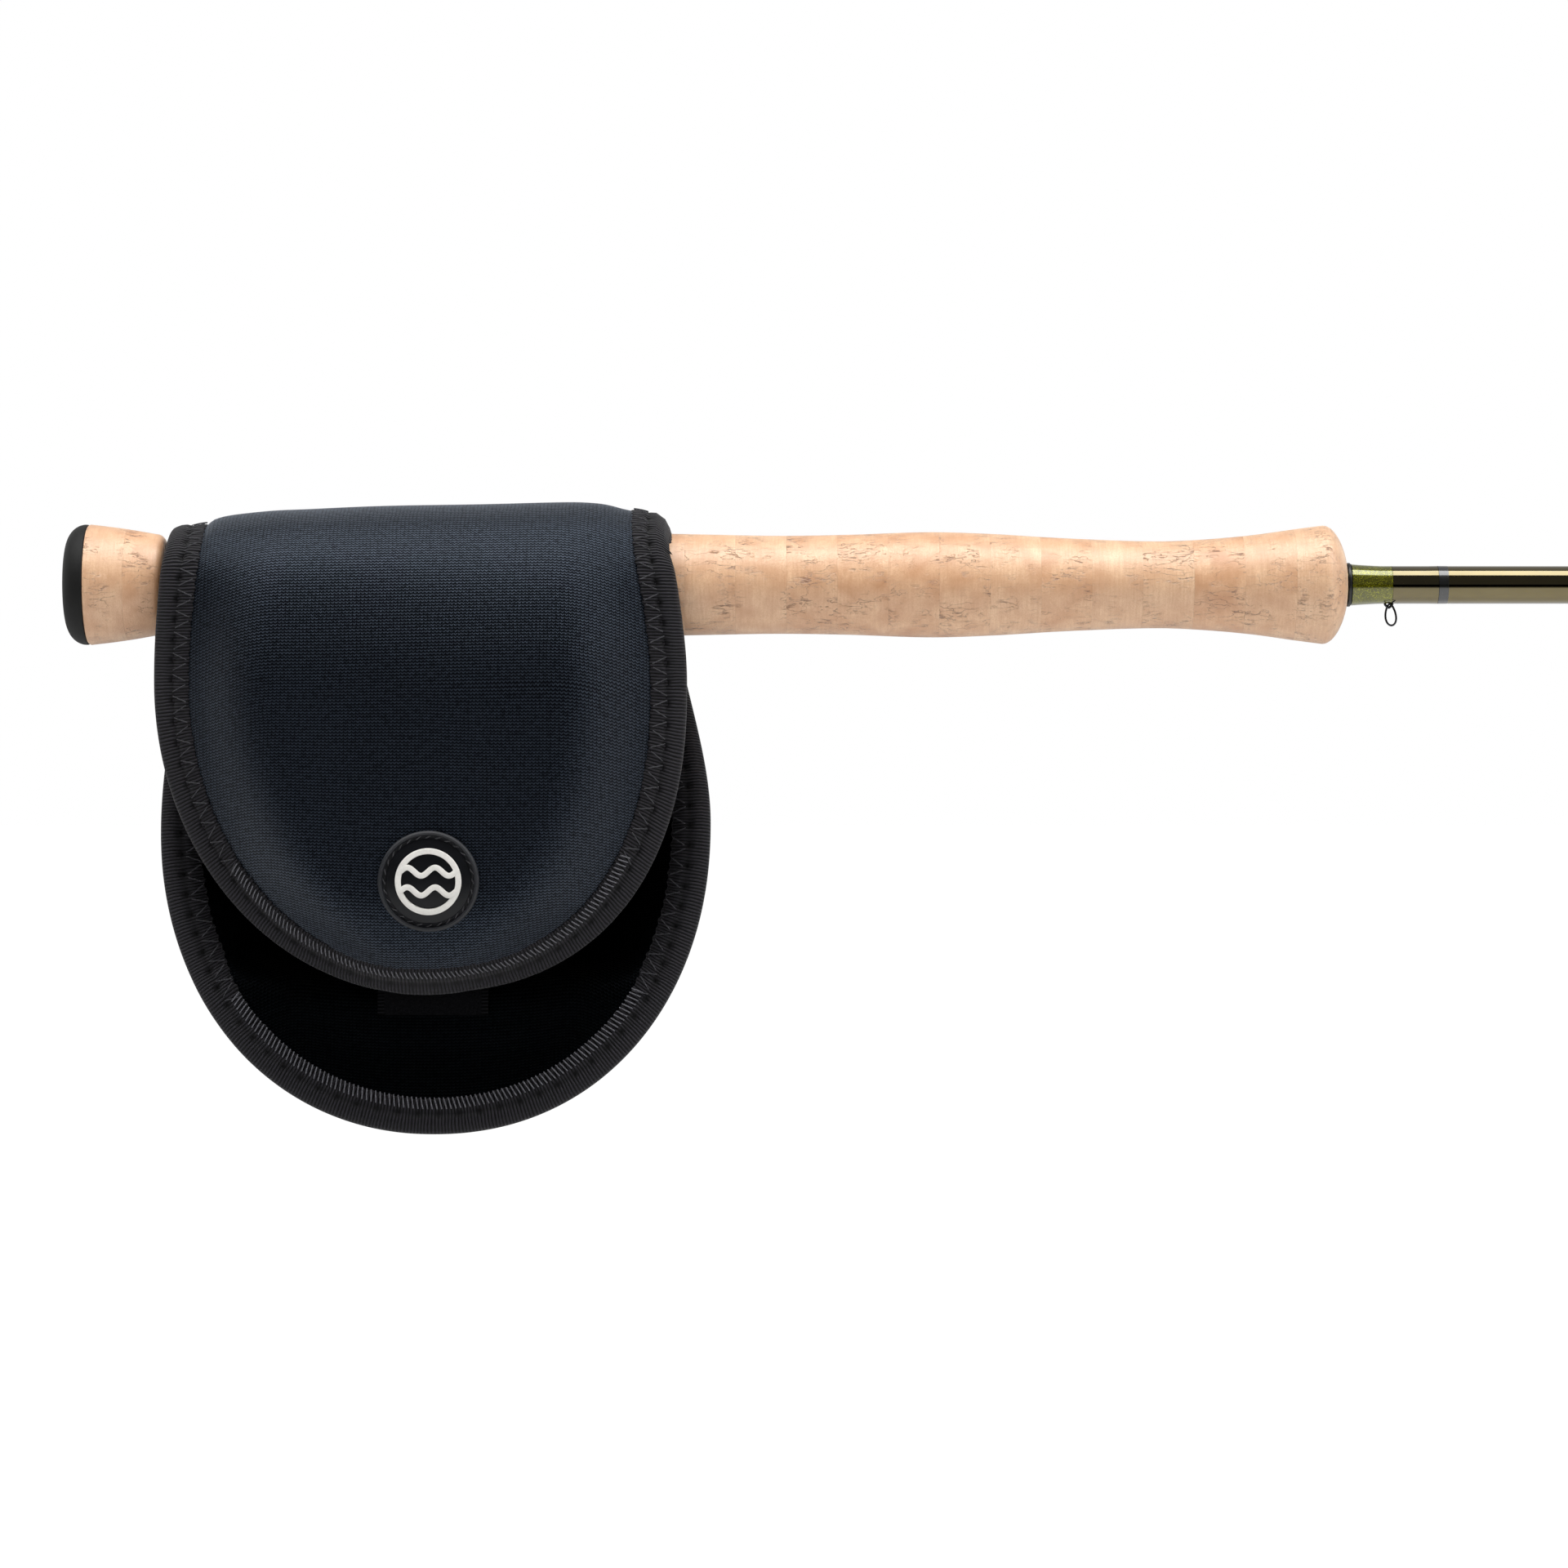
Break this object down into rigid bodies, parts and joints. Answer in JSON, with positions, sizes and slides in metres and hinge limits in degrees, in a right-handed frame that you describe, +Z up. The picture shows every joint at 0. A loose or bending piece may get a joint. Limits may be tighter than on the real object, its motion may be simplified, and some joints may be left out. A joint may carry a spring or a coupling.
{
  "type": "fly rod and reel in a reel pouch",
  "caption": "Full-length take-apart fly rod with a cork grip and fighting butt, and a large-arbor reel inside a folded neoprene pouch.",
  "frame": {"origin": "on the rod's axis, at the middle of the cork grip's length", "axes": "+X from the butt towards the rod's tip, +Z up with the reel hanging below the rod, and -Y is the reel's handle side, where the pouch's flap lies"},
  "size_m": [2.7455, 0.0646, 0.1576],
  "materials": {
    "rubber": "matte charcoal rubber",
    "cork": "sanded cork rings, oiled",
    "gunmetal": "gunmetal anodised, satin",
    "silver": "clear anodised, satin",
    "wood": "oiled hardwood",
    "blank": "olive lacquer over carbon fibre, high gloss",
    "wrap": "olive thread under clear epoxy",
    "flake": "yellow-green metallic thread under clear epoxy",
    "black": "black, satin",
    "steel": "stainless steel, satin",
    "cloth": "dark navy jersey over neoprene foam",
    "binding": "charcoal ribbed binding tape",
    "badge": "moulded charcoal rubber",
    "motif": "moulded off-white rubber",
    "patch": "black hook and loop tape",
    "ceramic": "polished ceramic",
    "carbon": "carbon-fibre drag disc"
  },
  "bodies": {
    "rod_butt": {"butt_cap": "rubber", "butt_cork": "cork", "seat_barrel": "gunmetal", "seat_insert": "wood", "fixed_hood": "gunmetal", "cork_grip": "cork", "blank_butt": "blank", "winding_check": "black", "metallic_wrap": "flake", "plain_wrap": "wrap", "black_band": "black", "keeper_foot": "gunmetal", "reel_foot": "gunmetal", "foot_screw_1": "steel", "foot_screw_2": "steel", "reel_frame": "gunmetal", "spindle": "steel", "front_bearing": "silver", "rear_bearing": "silver", "one_way_clutch": "steel", "drag_disc": "carbon", "pressure_plate": "steel", "seal_ring": "black", "drag_spring": "steel", "click_spring": "steel", "pouch_shell": "cloth", "shell_binding": "binding", "loop_tape": "patch"},
    "flap": {"pouch_flap": "cloth", "flap_binding": "binding", "badge_base": "badge", "badge_motif": "motif", "hook_tape": "patch"},
    "spool": {"spool": "silver", "spool_cap": "gunmetal", "handle_post": "steel", "counterweight": "silver"},
    "handle_knob": {"handle_knob": "black"},
    "drag_knob": {"drag_knob": "gunmetal", "knob_screw": "steel"},
    "click_pawl": {"click_pawl": "steel"},
    "sliding_hood": {"sliding_hood": "gunmetal"},
    "lock_ring": {"lock_ring": "gunmetal"},
    "jam_ring": {"jam_ring": "gunmetal"},
    "keeper_ring": {"keeper_ring": "gunmetal"},
    "section_2": {"rod_section_2": "blank", "stripping_guide_1_frame": "gunmetal", "stripping_guide_1_ring": "ceramic", "stripping_guide_2_frame": "gunmetal", "stripping_guide_2_ring": "ceramic"},
    "section_3": {"rod_section_3": "blank", "snake_guide_1": "steel", "snake_guide_2": "steel", "snake_guide_3": "steel"},
    "section_4": {"rod_section_4": "blank", "snake_guide_4": "steel", "snake_guide_5": "steel", "snake_guide_6": "steel", "snake_guide_7": "steel", "tip_top": "steel"}
  },
  "joints": [
    {"name": "flap_fold", "type": "hinge", "parent": "rod_butt", "child": "flap", "pos_m": [-0.1432, 0, 0.0171], "axis": [-1, 0, 0], "range_deg": [0, 115]},
    {"name": "spool_spin", "type": "hinge", "parent": "rod_butt", "child": "spool", "pos_m": [-0.1403, 0, -0.0509], "axis": [0, 1, 0], "continuous": true},
    {"name": "handle_knob_spin", "type": "hinge", "parent": "spool", "child": "handle_knob", "pos_m": [-0.1403, 0, -0.0299], "axis": [0, 1, 0], "continuous": true},
    {"name": "drag_knob_turn", "type": "hinge", "parent": "rod_butt", "child": "drag_knob", "pos_m": [-0.1403, 0, -0.0509], "axis": [0, 1, 0], "range_deg": [0, 300]},
    {"name": "click_pawl_rock", "type": "hinge", "parent": "rod_butt", "child": "click_pawl", "pos_m": [-0.12927, 0.0045, -0.04164], "axis": [0, 1, 0], "range_deg": [-10, 10], "stiffness_Nm_per_rad": 0.001},
    {"name": "lock_ring_turn", "type": "hinge", "parent": "sliding_hood", "child": "lock_ring", "pos_m": [-0.1883, 0, 0], "axis": [-1, 0, 0], "range_deg": [0, 1800]},
    {"name": "jam_ring_turn", "type": "hinge", "parent": "sliding_hood", "child": "jam_ring", "pos_m": [-0.194, 0, 0], "axis": [-1, 0, 0], "range_deg": [0, 1800]},
    {"name": "hood_slide", "type": "slide", "parent": "rod_butt", "child": "sliding_hood", "axis": [-1, 0, 0], "range_m": [0, 0.0075]},
    {"name": "keeper_ring_swing", "type": "hinge", "parent": "rod_butt", "child": "keeper_ring", "pos_m": [0.09975, 0, -0.00614], "axis": [1, 0, 0], "range_deg": [-60, 60]},
    {"name": "ferrule_1_pull", "type": "slide", "parent": "rod_butt", "child": "section_2", "axis": [1, 0, 0], "range_m": [0, 0.045]},
    {"name": "ferrule_2_pull", "type": "slide", "parent": "section_2", "child": "section_3", "axis": [1, 0, 0], "range_m": [0, 0.045]},
    {"name": "ferrule_3_pull", "type": "slide", "parent": "section_3", "child": "section_4", "axis": [1, 0, 0], "range_m": [0, 0.045]}
  ],
  "couplings": [
    {"joint": "lock_ring_turn", "follows": "hood_slide", "rad_per_m": 4188.8},
    {"joint": "jam_ring_turn", "follows": "hood_slide", "rad_per_m": 4188.8}
  ]
}
